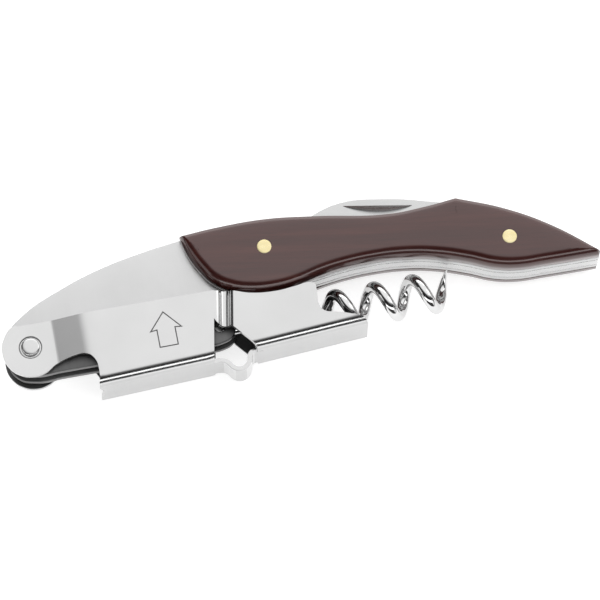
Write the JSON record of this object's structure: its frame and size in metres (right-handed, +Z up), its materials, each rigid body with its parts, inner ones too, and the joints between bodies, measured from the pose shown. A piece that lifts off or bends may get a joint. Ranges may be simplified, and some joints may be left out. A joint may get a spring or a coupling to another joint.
{
  "type": "waiters corkscrew",
  "caption": "Folding waiter's corkscrew: wood-scaled handle with a hinged wire worm, a foil blade and a stepped lever with a cap lifter.",
  "frame": {"origin": "middle of the bounding box in plan, on the surface that the corkscrew lies on", "axes": "+X runs along the handle from the lever pivot to the tail, +Y from the belly to the back of the handle, +Z up through its thickness from the far side to the near side"},
  "size_m": [0.1216, 0.032, 0.0138],
  "materials": {
    "steel": "satin brushed stainless steel sheet",
    "polished": "polished steel",
    "wood": "dark red-brown hardwood with a glossy lacquer",
    "brass": "polished brass"
  },
  "bodies": {
    "handle": {"near_liner": "steel", "far_liner": "steel", "near_scale": "wood", "far_scale": "wood", "front_spacer": "steel", "backspring": "steel", "front_scale_pin": "brass", "blade_pivot_pin": "brass", "spring_pin_front": "steel", "spring_pin_middle": "steel", "spring_pin_rear": "steel", "worm_pivot_pin": "steel", "lever_rivet": "polished", "lever_washer_near": "brass", "lever_washer_far": "brass", "blade_washer_near": "brass", "blade_washer_far": "brass"},
    "lever": {"lever": "steel"},
    "worm": {"worm": "polished"},
    "blade": {"blade": "polished"}
  },
  "joints": [
    {"name": "lever_hinge", "type": "hinge", "parent": "handle", "child": "lever", "pos_m": [-0.0551, -0.00359, 0.0069], "axis": [0, 0, -1], "range_deg": [0, 190]},
    {"name": "worm_hinge", "type": "hinge", "parent": "handle", "child": "worm", "pos_m": [-0.01715, -0.00598, 0.0069], "axis": [0, 0, -1], "range_deg": [0, 95]},
    {"name": "blade_hinge", "type": "hinge", "parent": "handle", "child": "blade", "pos_m": [0.04335, 0.00052, 0.0069], "axis": [0, 0, -1], "range_deg": [0, 145]}
  ],
  "couplings": [
    {"joint": "worm_hinge", "follows": "lever_hinge", "ratio": 0.5}
  ]
}
